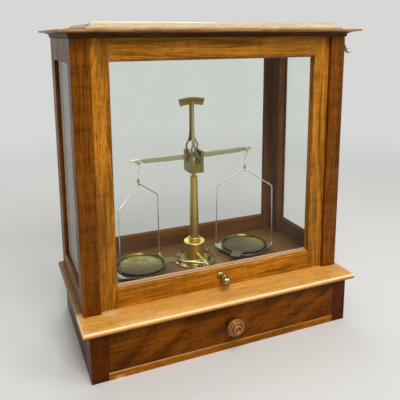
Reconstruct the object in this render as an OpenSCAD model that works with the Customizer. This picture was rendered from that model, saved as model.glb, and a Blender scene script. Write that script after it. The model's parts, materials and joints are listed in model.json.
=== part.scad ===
// Boxed balance scale: a glazed case with a rising front sash on a plinth with one drawer,
// and a small beam balance inside it.
// Origin: middle of the plinth's footprint, on the surface it stands on.
// The front faces -Y, the catch is on the +X side, +Z is up.

/* [Plinth] */
// Width of the plinth box
plinth_w = 386; // [380:1:400]
// Depth of the plinth box
plinth_d = 206; // [200:1:216]
// Height of the plinth box under its moulded top
plinth_h = 67.6; // [60:0.2:90]
// Thickness of the plinth's side and back boards
board_t = 10; // [8:0.5:14]
// Thickness of the front stiles and of the rail under the drawer
front_t = 14; // [12:0.5:18]
// Width of each front stile
stile_w = 22; // [16:0.5:30]
// Height of the rail under the drawer, and thickness of the bottom board
rail_h = 10.5; // [8:0.5:16]
// Thickness of the moulded top board
ledge_t = 8.5; // [7:0.5:12]
// Overhang of the top board at each side
ledge_side = 9.8; // [6:0.2:12]
// Overhang of the top board at the front
ledge_front = 9.3; // [6:0.1:12]
// Overhang of the top board at the back
ledge_back = 8.2; // [6:0.2:12]

/* [Drawer] */
// Clearance round the drawer front
drawer_gap = 0.5; // [0.3:0.1:1]
// Thickness of the drawer front
drawer_front_t = 12; // [10:0.5:14]
// Thickness of the drawer's sides and back
drawer_side_t = 8; // [5:0.5:10]
// Thickness of the drawer's bottom
drawer_floor_t = 4; // [3:0.5:6]
// Height of the drawer's sides
drawer_side_h = 48; // [30:1:50]
// Gap behind the closed drawer
drawer_back_gap = 5; // [2:1:20]
// Radius of the wooden knob's ring
pull_r = 10.7; // [8:0.1:14]
// Reach of the wooden knob in front of the drawer
pull_len = 23.5; // [18:0.5:30]

/* [Case] */
// Width of the case over its posts
case_w = 390; // [380:1:400]
// Depth of the case over its posts
case_d = 181; // [170:1:186]
// Height of the posts
case_h = 351.3; // [320:0.5:400]
// Distance of the posts' front faces behind the plinth's front
case_set = 29; // [24:0.5:34]
// Width of the front posts
post_w = 23.5; // [20:0.5:28]
// Depth of the front posts
post_d = 23.3; // [21:0.1:28]
// Width of the back posts
back_post_w = 16; // [14:0.5:22]
// Depth of the back posts
back_post_d = 31.2; // [20:0.2:36]
// Radius of the posts' outer arrises
post_round = 1.5; // [0.5:0.1:3]
// Thickness of the side rails
side_rail_t = 8.4; // [7:0.2:12]
// Height of the bottom rails of the sides and back
low_rail_h = 27.4; // [20:0.2:40]
// Height of the top rails of the sides and back
top_rail_h = 30.4; // [20:0.2:40]
// Thickness of the back frame
back_frame_t = 9.2; // [7:0.2:12]
// Width of the back stiles
back_stile_w = 14; // [10:0.5:24]

/* [Glass] */
// Thickness of the panes
glass_t = 2; // [1.5:0.1:3]
// Depth to which a pane enters its frame
glass_in = 4; // [3:0.5:5]
// Clearance round a pane in its groove
glass_gap = 0.2; // [0.1:0.05:0.4]

/* [Sash] */
// Thickness of the sash
sash_t = 12; // [10:0.5:14]
// Distance of the sash behind the posts' front faces
sash_set = 6; // [5:0.5:8]
// Width of the sash stiles between the posts
sash_stile_w = 23.3; // [18:0.1:30]
// Depth to which the sash enters each post's groove
sash_tongue = 4.7; // [3:0.1:6]
// Clearance of the sash in its grooves and in the roof slot
sash_gap = 0.3; // [0.2:0.05:0.5]
// Height of the sash's bottom rail
sash_low_h = 29.6; // [22:0.2:40]
// Height of the sash's top rail below the roof
sash_top_h = 28.9; // [20:0.1:40]
// Width of the bevel along the glass
sash_bevel = 3; // [1:0.5:4]
// Radius of the sash's ball knob
ball_r = 8; // [6:0.1:10]
// Distance of the ball's centre in front of the rail
ball_reach = 18; // [14:0.5:24]
// Radius of the ball knob's rose
rose_r = 5.6; // [4:0.1:7]
// Height of the ball knob above the case's floor
ball_h = 17.4; // [12:0.2:24]

/* [Roof] */
// Thickness of the roof board
roof_t = 10; // [8:0.5:14]
// Overhang of the roof at each side
roof_side = 15.1; // [10:0.1:20]
// Overhang of the roof at the front
roof_front = 17.2; // [12:0.1:22]
// Overhang of the roof at the back
roof_back = 12.4; // [8:0.2:18]
// Overhang of the roof's lower step
roof_step = 1.5; // [0.5:0.1:3]
// Height of the roof's lower step
roof_step_h = 2.5; // [1:0.1:4]
// Height of the roof's top band
roof_band_h = 2.7; // [1:0.1:4]
// Distance of the raised panel from the roof's ends
panel_side = 32.1; // [27:0.1:32.5]
// Depth of the raised panel
panel_d = 168; // [120:1:190]
// Distance of the raised panel behind the roof's front edge
panel_set = 3.2; // [2:0.1:8]
// Height of the raised panel's lower step
panel_step_h = 3; // [2:0.1:5]
// Width of the raised panel's lower step
panel_step_w = 6; // [3:0.5:10]
// Width of the raised panel's rounded edge
panel_round_w = 10; // [5:0.5:14]
// Height of the raised panel's rounded edge
panel_round_h = 6; // [3:0.5:10]

/* [Catch] */
// Width of the catch's leaf spring
leaf_w = 8; // [6:0.5:10]
// Thickness of the leaf spring
leaf_t = 1; // [0.8:0.1:1.5]
// Length of the leaf spring
leaf_len = 23; // [18:0.5:30]
// Angle at which the leaf stands out from the post
leaf_angle = 27; // [20:1:32]
// Radius of the catch's ball
catch_r = 3.8; // [3:0.1:5]
// Radius of the catch's pin
catch_pin_r = 1.5; // [1:0.1:2]
// Clearance of the catch's pin in the post
catch_pin_gap = 1.6; // [1.4:0.1:2]

/* [Balance stand] */
// Distance of the balance behind the posts' front faces
balance_set = 104; // [98:0.5:108]
// Radius of the round base
base_r = 34; // [30:0.5:38]
// Thickness of the round base
base_t = 3; // [2:0.1:5]
// Radius of the drum
drum_r = 15.5; // [13:0.5:18]
// Wall of the drum
drum_wall = 2.5; // [2:0.1:4]
// Height of the drum
drum_h = 30; // [26:0.5:36]
// Reach of the drum's rim past its wall
drum_rim = 1.4; // [1:0.1:4]
// Height of the column above the drum
column_h = 106; // [90:0.5:112]
// Radius of the column at its foot
column_foot_r = 7.5; // [6.8:0.1:9]
// Radius of the column at its top
column_top_r = 5.7; // [5:0.1:6.5]
// Radius of the bead round the column's foot
bead_r = 10; // [8.5:0.1:12]
// Radius of the lift rod
rod_r = 3; // [2.4:0.1:3.6]
// Clearance of the rod and the shaft in their bores
bearing_gap = 0.05; // [0.02:0.01:0.1]
// Distance of the thumbscrews from the column's axis
screw_x = 25.7; // [22:0.1:30]
// Radius of the thumbscrews' discs
screw_disc_r = 4.6; // [3.5:0.1:5]
// Radius of the thumbscrews' shafts
screw_r = 2.1; // [1.6:0.1:2.6]
// Height of the thumbscrews above the base
screw_h = 13.6; // [10:0.2:18]

/* [Lift] */
// Height of the control shaft above the case's floor
shaft_h = 14; // [13.7:0.1:15]
// Radius of the control shaft
shaft_r = 2.5; // [2:0.1:3]
// Reach of the control shaft in front of the drum
shaft_reach = 34.5; // [25:0.5:45]
// Length of the lever handle
handle_len = 39; // [25:1:44]
// Radius of the lever handle
handle_r = 1.25; // [1:0.05:1.8]
// Angle of the lever handle above the horizontal
handle_angle = 15.6; // [5:0.2:25]
// Turn of the lever from raised to lowered
lever_turn = 60; // [45:1:70]
// Fall of the lift rod over the lever's turn
lift_drop = 2.4; // [1.5:0.1:2.8]
// Largest radius of the snail cam
cam_r = 8; // [6:0.1:9.4]
// Thickness of the snail cam
cam_t = 6; // [4:0.5:8]
// Clearance between the cam and the rod's tip
cam_gap = 0.5; // [0.4:0.05:0.8]

/* [Head and beam] */
// Height of the head's underside above the case's floor
head_h = 146.7; // [143:0.1:160]
// Width of the head
head_w = 22; // [18:0.5:26]
// Depth of the head
head_d = 28; // [24:0.5:32]
// Height of the head
head_t = 33.7; // [30:0.1:38]
// Width of the window in the head
window_w = 13; // [10:0.5:15]
// Height of the solid block under the window
window_sill = 14.2; // [10:0.1:17]
// Width of the slot that the beam passes through
slot_w = 6.2; // [5.4:0.1:8]
// Distance from the head's underside to the centre knife's edge
pivot_up = 27.4; // [26:0.1:29]
// Distance from the centre knife's edge to each end knife's edge
arm = 89; // [80:0.5:94]
// Drop of the end knives' edges below the centre knife's edge
end_drop = 1.3; // [0.5:0.1:2]
// Thickness of the beam
beam_t = 4; // [3:0.1:4.6]
// Height of the beam at its middle
beam_mid_h = 8; // [6:0.1:9]
// Height of the beam where its tips begin
beam_out_h = 6.7; // [5:0.1:7]
// Height of the beam's tips
beam_tip_h = 4.3; // [3.8:0.1:5]
// Length of each tip past its shoulder
tip_len = 20; // [16:0.5:24]
// Reach of each tip past its knife
tip_past = 10.5; // [8:0.5:14]
// Height of the beam's top edge above the centre knife's edge
beam_top_up = 1.2; // [0.8:0.1:2]
// Tilt of the beam as it is stored, right end up
beam_tilt = 0.9; // [-1.5:0.1:1.5]
// Height of the pointer above the beam's top edge
pointer_h = 79.6; // [60:0.2:80]
// Outer radius of the index arc about the centre knife's edge
index_r = 87.1; // [82:0.1:95]
// Width of the index arc
index_band = 11.2; // [7:0.1:14]
// Half angle of the index arc
index_angle = 14.3; // [10:0.1:20]
// Width of the index plate's stem
stem_w = 7.6; // [5:0.1:10]
// Distance of the index plate behind the beam
index_set = 7; // [6:0.1:9]

/* [Hangers and pans] */
// Radius of the stirrups' wire
stirrup_wire_r = 0.6; // [0.5:0.05:0.8]
// Half the distance between a stirrup's two eyes
stirrup_half = 8; // [6:0.1:9]
// Drop from the end knife's edge to the stirrup's bead
stirrup_drop = 16; // [12:0.5:20]
// Radius of the bows' wire
bow_wire_r = 0.9; // [0.7:0.05:1.2]
// Drop from the end knife's edge to the bow's top
bow_drop = 35; // [32:0.5:40]
// Drop from the bow's top to its shoulders
shoulder_drop = 28; // [20:0.5:36]
// Half width of the bow at its shoulders
shoulder_half = 45; // [42:0.1:47]
// Half width of the bow at its feet
foot_half = 46.5; // [44:0.1:48]
// Drop from the bow's top to the carrier's top face
carrier_drop = 130.5; // [110:0.1:131.8]
// Thickness of the flat pan carriers
carrier_t = 1.6; // [1.2:0.1:2]
// Radius of the carriers' round part
carrier_r = 38; // [34:0.5:40]
// Radius of the ball nuts at the bows' feet
nut_r = 2.1; // [1.8:0.1:2.6]
// Radius of the pans
pan_r = 37.8; // [34:0.1:39]
// Depth of the pans
pan_h = 4.9; // [4:0.1:8]
// Thickness of the pans' metal
pan_t = 1; // [0.8:0.1:1.4]
// Reach of each pan's lug from the pan's axis
lug_reach = 56.7; // [50:0.1:58]
// Width of each pan's lug
lug_w = 16.5; // [10:0.5:18]
// Turn of the left bow about the vertical
left_bow_turn = 34.2; // [25:0.2:45]
// Turn of the right bow about the vertical
right_bow_turn = -20.1; // [-30:0.2:-10]
// Turn of the left pan's lug about the vertical
left_lug_turn = -10; // [-15:1:0]
// Turn of the right pan's lug about the vertical
right_lug_turn = -132; // [-140:1:-120]

/* [Hidden] */
$fn = 48;

LEFT = -1;
RIGHT = 1;
// A small overlap for cuts and for pieces of one solid
eps = 0.01;
// Steps of a moulded edge
edge_steps = 10;

// Plinth
half_w = plinth_w / 2;
front_y = -plinth_d / 2;
back_y = plinth_d / 2;
opening_half = half_w - stile_w;
inner_half = half_w - board_t;
floor_z = plinth_h + ledge_t;
nose_r = ledge_t / 2;
// Guides beside the drawer
guide_h = 8;

// Drawer
drawer_half = opening_half - drawer_gap;
drawer_z = rail_h + drawer_gap;
drawer_top_z = plinth_h - drawer_gap;
drawer_in_y = front_y + drawer_front_t;
drawer_out_y = back_y - board_t - drawer_back_gap;
drawer_floor_z = drawer_z + 2;
pull_z = (drawer_z + drawer_top_z) / 2 + 2;

// Case
case_half = case_w / 2;
case_y = front_y + case_set;
case_back_y = case_y + case_d;
roof_z = floor_z + case_h;
front_open = case_half - post_w;
back_open = case_half - back_post_w;
front_post_y = case_y + post_d;
back_post_y = case_back_y - back_post_d;
back_frame_y = case_back_y - back_frame_t;
back_clear = back_open - back_stile_w;
low_rail_z = floor_z + low_rail_h;
top_rail_z = roof_z - top_rail_h;
side_pane_x = case_half - side_rail_t / 2;
back_pane_y = case_back_y - back_frame_t / 2;

// Sash
sash_y = case_y + sash_set;
sash_back_y = sash_y + sash_t;
sash_mid_y = sash_y + sash_t / 2;
sash_clear = front_open - sash_stile_w;
sash_half = front_open + sash_tongue;
sash_low_z = floor_z + sash_low_h;
sash_top_z = roof_z - sash_top_h;
ball_z = floor_z + ball_h;

// Roof
roof_top_z = roof_z + roof_t;
roof_half = case_half + roof_side;
roof_y = case_y - roof_front;
roof_back_y = case_back_y + roof_back;
panel_half = roof_half - panel_side;
panel_y = roof_y + panel_set;
panel_top_z = roof_top_z + panel_step_h + panel_round_h;

// Catch
leaf_x = case_half + leaf_t;
leaf_z = roof_z - leaf_t;
leaf_end_x = leaf_x + leaf_len * sin(leaf_angle);
leaf_end_z = leaf_z - leaf_len * cos(leaf_angle);
catch_x = leaf_end_x + leaf_t / 2 + catch_r;
catch_hole_r = catch_pin_r + catch_pin_gap;

// Balance stand
balance_y = case_y + balance_set;
base_top_z = floor_z + base_t;
drum_top_z = base_top_z + drum_h;
rim_h = 3;
column_top_z = drum_top_z + column_h;
shaft_z = floor_z + shaft_h;
shaft_end_y = balance_y - drum_r - shaft_reach;
handle_y = shaft_end_y + shaft_r;
rod_bore_r = rod_r + bearing_gap;
shaft_bore_r = shaft_r + bearing_gap;
rod_tip_z = shaft_z + cam_r + cam_gap;
screw_gap = 0.2;

// Head and beam
head_z = floor_z + head_h;
head_top_z = head_z + head_t;
pivot_z = head_z + pivot_up;
beam_top_z = pivot_z + beam_top_up;
knife_gap = 0.05;
knife_h = 4.4;
knife_half_w = 2.3;
end_z = pivot_z - end_drop;
end_knife_h = 2.5;
end_knife_half_w = 1.3;
bearing_t = 1.8;
bearing_len = 5;
index_y = balance_y + index_set;
index_t = 1.5;
pointer_t = 1.2;
wish_r = 10.5;
wish_w = 2.5;
wish_up = 5.5;

// Hangers
eye_in_r = 2.2;
eye_z = end_z - eye_in_r - knife_gap;
bead_z = end_z - stirrup_drop;
stem_r = 0.5;
barrel_r = 1.8;
barrel_z = end_z - bow_drop + 2.2;
barrel_h = 5.4;
barrel_top_z = barrel_z + barrel_h;
swivel_r = 1;
swivel_h = 0.8;
swivel_z = barrel_z + 1.2;
ring_in_r = 1.3;
ring_wire_r = 0.7;
bow_z = end_z - bow_drop;
ring_z = bow_z + ring_in_r - bow_wire_r - knife_gap;
bow_flat = 1.6;
carrier_z = bow_z - carrier_drop;
ear_r = 2.8;

// Where the stored tilt takes the left and the right end knife
function end_x(s) = s * arm * cos(beam_tilt) + end_drop * sin(beam_tilt);
function end_rise(s) = s * arm * sin(beam_tilt) - end_drop * cos(beam_tilt) + end_drop;

// A box between two corners
module block(x0, x1, y0, y1, z0, z1) {
  translate([x0, y0, z0])
    cube([x1 - x0, y1 - y0, z1 - z0]);
}

// Mirrors a piece drawn on the right to the left
module on_side(s) {
  if (s < 0)
    mirror([1, 0, 0])
      children();
  else
    children();
}

// Outline of a board between a and b whose edge is a list of [inset, height]
function outline(a, b, edge, ka, kb) = concat(
  [for (p = edge) [b - kb * p[0], p[1]]],
  [for (i = [len(edge) - 1 : -1 : 0]) [a + ka * edge[i][0], edge[i][1]]]);

// Board with one moulded edge run round its four sides, mitred at the corners
module moulded_board(x0, x1, y0, y1, edge, k_front = 1, k_back = 1) {
  intersection() {
    translate([0, y1, 0])
      rotate([90, 0, 0])
        linear_extrude(y1 - y0)
          polygon(outline(x0, x1, edge, 1, 1));
    translate([x0, 0, 0])
      rotate([90, 0, 90])
        linear_extrude(x1 - x0)
          polygon(outline(y0, y1, edge, k_front, k_back));
  }
}

// Unit vector along v
function unit(v) = v / norm(v);

// Points of a rounded corner at c between a and b, starting a distance l from it
function bend(a, c, b, l, steps = 4) =
  let (p = c - l * unit(c - a), q = c + l * unit(b - c))
    [for (i = [0 : steps]) let (t = i / steps) (1 - t) * (1 - t) * p + 2 * t * (1 - t) * c + t * t * q];

// Round wire bent along a path of [x, z] points, with mitred rings at its points
module bent_wire(path, r, sides = 12) {
  last = len(path) - 1;
  rings = [for (i = [0 : last])
    let (before = unit(path[max(i, 1)] - path[max(i, 1) - 1]),
      after = unit(path[min(i, last - 1) + 1] - path[min(i, last - 1)]),
      along = unit(before + after),
      across = [-along[1], along[0]] / (before * along))
    for (k = [0 : sides - 1])
      let (a = 360 * k / sides)
      [path[i][0] + r * cos(a) * across[0], r * sin(a), path[i][1] + r * cos(a) * across[1]]];
  walls = [for (i = [0 : last - 1]) for (k = [0 : sides - 1])
    let (n = (k + 1) % sides, p = i * sides, q = (i + 1) * sides)
    each [[p + k, p + n, q + n], [p + k, q + n, q + k]]];
  ends = concat(
    [for (k = [1 : sides - 2]) [0, k + 1, k]],
    [for (k = [1 : sides - 2]) [last * sides, last * sides + k, last * sides + k + 1]]);
  polyhedron(rings, concat(walls, ends), convexity = 4);
}

// Cylinder between two points
module bar(a, b, r) {
  d = b - a;
  length = norm(d);
  translate(a)
    rotate([0, acos(d[2] / length), atan2(d[1], d[0])])
      cylinder(r = r, h = length);
}

// Cylinder along +Y from a point
module rod_y(x, y, z, r, length) {
  translate([x, y, z])
    rotate([-90, 0, 0])
      cylinder(r = r, h = length);
}

// Groove or pane of the sash, the sides and the back
module sash_pane(gap = 0) {
  block(-sash_clear - glass_in - gap, sash_clear + glass_in + gap,
    sash_mid_y - glass_t / 2 - gap, sash_mid_y + glass_t / 2 + gap,
    sash_low_z - glass_in - gap, sash_top_z + glass_in + gap);
}

module side_pane(gap = 0) {
  block(side_pane_x - glass_t / 2 - gap, side_pane_x + glass_t / 2 + gap,
    front_post_y - glass_in - gap, back_post_y + glass_in + gap,
    low_rail_z - glass_in - gap, top_rail_z + glass_in + gap);
}

module back_pane(gap = 0) {
  block(-back_clear - glass_in - gap, back_clear + glass_in + gap,
    back_pane_y - glass_t / 2 - gap, back_pane_y + glass_t / 2 + gap,
    low_rail_z - glass_in - gap, top_rail_z + glass_in + gap);
}

// Space that the sash slides in, through the posts and the roof
module sash_run() {
  block(-sash_half - sash_gap, sash_half + sash_gap, sash_y - sash_gap, sash_back_y + sash_gap,
    floor_z, panel_top_z + eps);
}

// Plinth
module plinth_side(s) {
  on_side(s)
    block(inner_half, half_w, front_y + front_t, back_y, 0, plinth_h);
}

module plinth_side_left() {
  color("#6e3c18")
    plinth_side(LEFT);
}

module plinth_side_right() {
  color("#6e3c18")
    plinth_side(RIGHT);
}

module plinth_back() {
  color("#5c3214")
    block(-inner_half, inner_half, back_y - board_t, back_y, 0, plinth_h);
}

// Bottom board and the guides beside the drawer
module plinth_bottom() {
  color("#6a4420") {
    block(-inner_half, inner_half, front_y + front_t, back_y - board_t, 0, rail_h);
    for (s = [LEFT, RIGHT])
      on_side(s)
        block(opening_half, inner_half, front_y + front_t, back_y - board_t, rail_h,
          rail_h + guide_h);
  }
}

module plinth_stiles() {
  color("#6e3c18")
    for (s = [LEFT, RIGHT])
      on_side(s)
        block(opening_half, half_w, front_y, front_y + front_t, 0, plinth_h);
}

module plinth_front_rail() {
  color("#6e3c18")
    block(-opening_half, opening_half, front_y, front_y + front_t, 0, rail_h);
}

// Moulded top of the plinth with a half round nose, the floor of the case
module plinth_top() {
  nose = [for (i = [0 : edge_steps])
    let (a = -90 + 180 * i / edge_steps) [nose_r * (1 - cos(a)), plinth_h + nose_r * (1 + sin(a))]];
  color("#c98f4e")
    moulded_board(-half_w - ledge_side, half_w + ledge_side, front_y - ledge_front,
      back_y + ledge_back, nose);
}

// Drawer
module drawer_front() {
  color("#5a2f10")
    block(-drawer_half, drawer_half, front_y, drawer_in_y, drawer_z, drawer_top_z);
}

module drawer_sides() {
  color("#a87a48")
    for (s = [LEFT, RIGHT])
      on_side(s)
        block(drawer_half - drawer_side_t, drawer_half, drawer_in_y, drawer_out_y, drawer_z,
          drawer_z + drawer_side_h);
}

module drawer_back() {
  color("#a87a48")
    block(-drawer_half + drawer_side_t, drawer_half - drawer_side_t, drawer_out_y - drawer_side_t,
      drawer_out_y, drawer_z, drawer_z + drawer_side_h);
}

module drawer_bottom() {
  color("#b08a58")
    block(-drawer_half + drawer_side_t, drawer_half - drawer_side_t, drawer_in_y,
      drawer_out_y - drawer_side_t, drawer_floor_z, drawer_floor_z + drawer_floor_t);
}

// Turned knob: neck, ring and a hollow face with a button in its middle
module drawer_knob() {
  neck_r = pull_r * 0.62;
  ring_x = pull_len * 0.62;
  ring_t = pull_len * 0.16;
  button_r = pull_r * 0.3;
  face_x = ring_x + ring_t;
  color("#7a4a22")
    translate([0, front_y, pull_z])
      rotate([90, 0, 0])
        rotate_extrude()
          polygon(concat(
            [[0, 0], [neck_r + 1, 0], [neck_r, 2]],
            [for (a = [0 : 15 : 90]) [pull_r - (pull_r - neck_r) * cos(a), ring_x * (0.35 + 0.65 * sin(a))]],
            [for (a = [15 : 30 : 165]) [pull_r - ring_t / 2 + ring_t / 2 * sin(a),
              ring_x + ring_t / 2 * (1 - cos(a))]],
            [[pull_r * 0.68, face_x - 0.6], [button_r + 1, face_x + 0.4], [button_r, pull_len - 1],
              [button_r * 0.6, pull_len], [0, pull_len]]));
}

// Case
module post_front(s) {
  difference() {
    on_side(s)
      difference() {
        block(front_open, case_half, case_y, front_post_y, floor_z, roof_z);
        // Rounded outer arris
        translate([case_half - post_round, case_y + post_round, floor_z - eps])
          difference() {
            translate([0, -post_round - eps, 0])
              cube([post_round + eps, post_round + eps, case_h + 2 * eps]);
            cylinder(r = post_round, h = case_h + 2 * eps);
          }
        side_pane(glass_gap);
      }
    sash_run();
  }
}

module post_front_left() {
  color("#7c4a20")
    post_front(LEFT);
}

// The right post has the hole for the catch's pin
module post_front_right() {
  color("#7c4a20")
    difference() {
      post_front(RIGHT);
      translate([sash_half, sash_mid_y, leaf_end_z])
        rotate([0, 90, 0])
          cylinder(r = catch_hole_r, h = case_half);
    }
}

module post_back(s) {
  on_side(s)
    difference() {
      block(back_open, case_half, back_post_y, case_back_y, floor_z, roof_z);
      side_pane(glass_gap);
    }
}

module post_back_left() {
  color("#6e401c")
    post_back(LEFT);
}

module post_back_right() {
  color("#6e401c")
    post_back(RIGHT);
}

module side_rails(s) {
  on_side(s)
    difference() {
      for (z = [[floor_z, low_rail_z], [top_rail_z, roof_z]])
        block(case_half - side_rail_t, case_half, front_post_y, back_post_y, z[0], z[1]);
      side_pane(glass_gap);
    }
}

module side_rails_left() {
  color("#74441e")
    side_rails(LEFT);
}

module side_rails_right() {
  color("#74441e")
    side_rails(RIGHT);
}

module back_rails() {
  color("#6e401c")
    difference() {
      for (z = [[floor_z, low_rail_z], [top_rail_z, roof_z]])
        block(-back_clear, back_clear, back_frame_y, case_back_y, z[0], z[1]);
      back_pane(glass_gap);
    }
}

module back_stiles() {
  color("#6e401c")
    difference() {
      for (s = [LEFT, RIGHT])
        on_side(s)
          block(back_clear, back_open, back_frame_y, case_back_y, floor_z, roof_z);
      back_pane(glass_gap);
    }
}

module glass_left() {
  color("#c8d8d4", 0.35)
    on_side(LEFT)
      side_pane();
}

module glass_right() {
  color("#c8d8d4", 0.35)
    side_pane();
}

module glass_back() {
  color("#c8d8d4", 0.35)
    back_pane();
}

// Roof board: a step, a hollow moulding and a square band, slotted for the sash
module roof_board() {
  cove = roof_side - roof_step;
  cove_h = roof_t - roof_step_h - roof_band_h;
  edge = concat(
    [[cove, roof_z]],
    [for (i = [0 : edge_steps])
      let (a = 90 * i / edge_steps) [cove * cos(a), roof_z + roof_step_h + cove_h * sin(a)]],
    [[0, roof_top_z]]);
  color("#5e3414")
    difference() {
      moulded_board(-roof_half, roof_half, roof_y, roof_back_y, edge,
        (roof_front - roof_step) / cove, (roof_back - roof_step) / cove);
      sash_run();
    }
}

// Raised panel: a square step and a rounded edge
module panel_form() {
  edge = concat(
    [[0, roof_top_z], [0, roof_top_z + panel_step_h], [panel_step_w, roof_top_z + panel_step_h]],
    [for (i = [1 : edge_steps])
      let (a = 90 * i / edge_steps) [panel_step_w + panel_round_w * (1 - cos(a)),
        roof_top_z + panel_step_h + panel_round_h * sin(a)]]);
  moulded_board(-panel_half, panel_half, panel_y, panel_y + panel_d, edge);
}

module roof_panel() {
  color("#8a5a30")
    difference() {
      panel_form();
      sash_run();
    }
}

// Sash
module sash_stile(s) {
  difference() {
    on_side(s)
      block(sash_clear, sash_half, sash_y, sash_back_y, floor_z, roof_z);
    sash_pane(glass_gap);
  }
}

module sash_stile_left() {
  color("#a5692c")
    sash_stile(LEFT);
}

module sash_stile_right() {
  color("#a5692c")
    sash_stile(RIGHT);
}

// Rail with a bevel that runs down to the glass
module sash_bevel_cut(z, up) {
  depth = sash_t / 2 - glass_t / 2;
  translate([-sash_clear - eps, sash_y, z])
    rotate([90, 0, 90])
      linear_extrude(2 * sash_clear + 2 * eps)
        polygon([[-eps, -up * sash_bevel], [depth, 0], [depth, up * eps], [-eps, up * eps]]);
}

// The top rail goes up through the roof and closes the slot in the panel
module sash_rail_top() {
  color("#a5692c")
    difference() {
      union() {
        block(-sash_clear, sash_clear, sash_y, sash_back_y, sash_top_z, roof_z + eps);
        block(-sash_half, sash_half, sash_y, sash_back_y, roof_z, roof_top_z + eps);
        intersection() {
          block(-sash_half, sash_half, sash_y, sash_back_y, roof_z, panel_top_z);
          panel_form();
        }
      }
      sash_pane(glass_gap);
      sash_bevel_cut(sash_top_z, -1);
    }
}

module sash_rail_bottom() {
  color("#a5692c")
    difference() {
      block(-sash_clear, sash_clear, sash_y, sash_back_y, floor_z, sash_low_z);
      sash_pane(glass_gap);
      sash_bevel_cut(sash_low_z, 1);
    }
}

module sash_glass() {
  color("#c8d8d4", 0.35)
    sash_pane();
}

// Ball knob with its rose and neck
module sash_knob() {
  rose_t = 2;
  neck_r = 2.6;
  waist_r = 2;
  neck_len = ball_reach - ball_r * 0.85;
  color("#c8a850")
    translate([0, sash_y, ball_z])
      rotate([90, 0, 0]) {
        rotate_extrude()
          polygon([[0, 0], [rose_r, 0], [rose_r, rose_t / 2], [rose_r * 0.8, rose_t], [neck_r, rose_t + 0.6],
            [waist_r, neck_len / 2], [neck_r, neck_len], [0, neck_len]]);
        translate([0, 0, ball_reach])
          sphere(r = ball_r);
      }
}

// Catch: a leaf fixed under the roof, standing out from the post, bored for the pin
module leaf_plate(extra = 0) {
  translate([leaf_x, sash_mid_y, leaf_z])
    rotate([0, -leaf_angle, 0])
      translate([-leaf_t / 2, -leaf_w / 2 - extra, -leaf_len - catch_r / 2 - extra])
        cube([leaf_t, leaf_w + 2 * extra, leaf_len + catch_r / 2 + extra]);
}

module catch_pin() {
  pin_end_x = sash_half + sash_gap + 1;
  translate([pin_end_x, sash_mid_y, leaf_end_z])
    rotate([0, 90, 0])
      cylinder(r = catch_pin_r, h = catch_x - pin_end_x);
}

module catch_spring() {
  color("#b8b0a0")
    difference() {
      leaf_plate();
      catch_pin();
    }
}

// Ball outside the leaf, and the pin that goes through the leaf and the post to the sash
module catch_knob() {
  color("#d8d4c8") {
    catch_pin();
    difference() {
      translate([catch_x, sash_mid_y, leaf_end_z])
        sphere(r = catch_r);
      leaf_plate(catch_r);
    }
  }
}

// Round base with a rounded edge and a raised step
module balance_base() {
  step_r = base_r * 0.72;
  step_h = base_t * 0.35;
  color("#a08440")
    translate([0, balance_y, floor_z])
      difference() {
        rotate_extrude($fn = 96)
          polygon(concat([[0, 0], [base_r - base_t / 2, 0]],
            [for (a = [-60 : 30 : 60]) [base_r - base_t / 2 * (1 - cos(a)) - step_h / 4,
              (base_t - step_h) / 2 * (1 + sin(a))]],
            [[step_r + step_h, base_t - step_h], [step_r, base_t], [0, base_t]]));
        for (s = [LEFT, RIGHT])
          translate([s * screw_x, 0, -eps])
            cylinder(r = screw_r * 0.7 + bearing_gap, h = base_t + 2 * eps);
      }
}

// Hollow drum with a rim, bored for the rod and the shaft
module drum() {
  color("#96782c")
    difference() {
      translate([0, balance_y, base_top_z])
        rotate_extrude()
          polygon(concat(
            [[drum_r - drum_wall, 0], [drum_r + 1, 0], [drum_r + 1, 1], [drum_r, 2], [drum_r, drum_h - rim_h]],
            [for (a = [-60 : 30 : 60]) [drum_r + drum_rim * cos(a), drum_h - rim_h / 2 * (1 - sin(a))]],
            [[drum_r - 1, drum_h], [rod_bore_r, drum_h], [rod_bore_r, drum_h - rim_h],
              [drum_r - drum_wall, drum_h - rim_h]]));
      // Front bearing right through the wall, back bearing blind
      rod_y(0, balance_y - drum_r - eps, shaft_z, shaft_bore_r, drum_r);
      rod_y(0, balance_y, shaft_z, shaft_bore_r, drum_r - drum_wall / 2);
    }
}

// Tapered column with a bead at its foot and a ring at its top
module column() {
  neck_h = 3;
  bead_h = 3.4;
  ring_h = 2.5;
  color("#b8963c")
    translate([0, balance_y, drum_top_z])
      rotate_extrude()
        polygon(concat(
          [[rod_bore_r, 0], [column_foot_r + 1, 0], [column_foot_r, neck_h]],
          [for (a = [-60 : 30 : 60]) [bead_r - bead_h / 2 * (1 - cos(a)), neck_h + bead_h / 2 * (1 + sin(a))]],
          [[column_foot_r, neck_h + bead_h], [column_top_r, column_h - ring_h],
            [column_top_r + 0.5, column_h - ring_h], [column_top_r + 0.5, column_h], [rod_bore_r, column_h]]));
}

// Thumbscrew: threaded shank in the base, waisted shaft, disc and button
module thumbscrew(s) {
  disc_t = 2;
  button_r = screw_disc_r * 0.52;
  button_h = screw_h * 0.3;
  shaft_len = screw_h - button_h - disc_t;
  translate([s * screw_x, balance_y, base_top_z]) {
    translate([0, 0, -base_t + screw_gap])
      cylinder(r = screw_r * 0.7, h = base_t);
    rotate_extrude()
      polygon([[0, screw_gap], [screw_r + 1.2, screw_gap], [screw_r + 1.2, 1], [screw_r, 2],
        [screw_r * 0.75, shaft_len / 2], [screw_r, shaft_len], [screw_disc_r - 0.4, shaft_len],
        [screw_disc_r, shaft_len + 0.4], [screw_disc_r, shaft_len + disc_t - 0.4],
        [screw_disc_r - 0.4, shaft_len + disc_t], [button_r * 0.6, shaft_len + disc_t + 0.3],
        [button_r, screw_h - button_h / 2], [button_r * 0.6, screw_h], [0, screw_h]]);
  }
}

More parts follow.
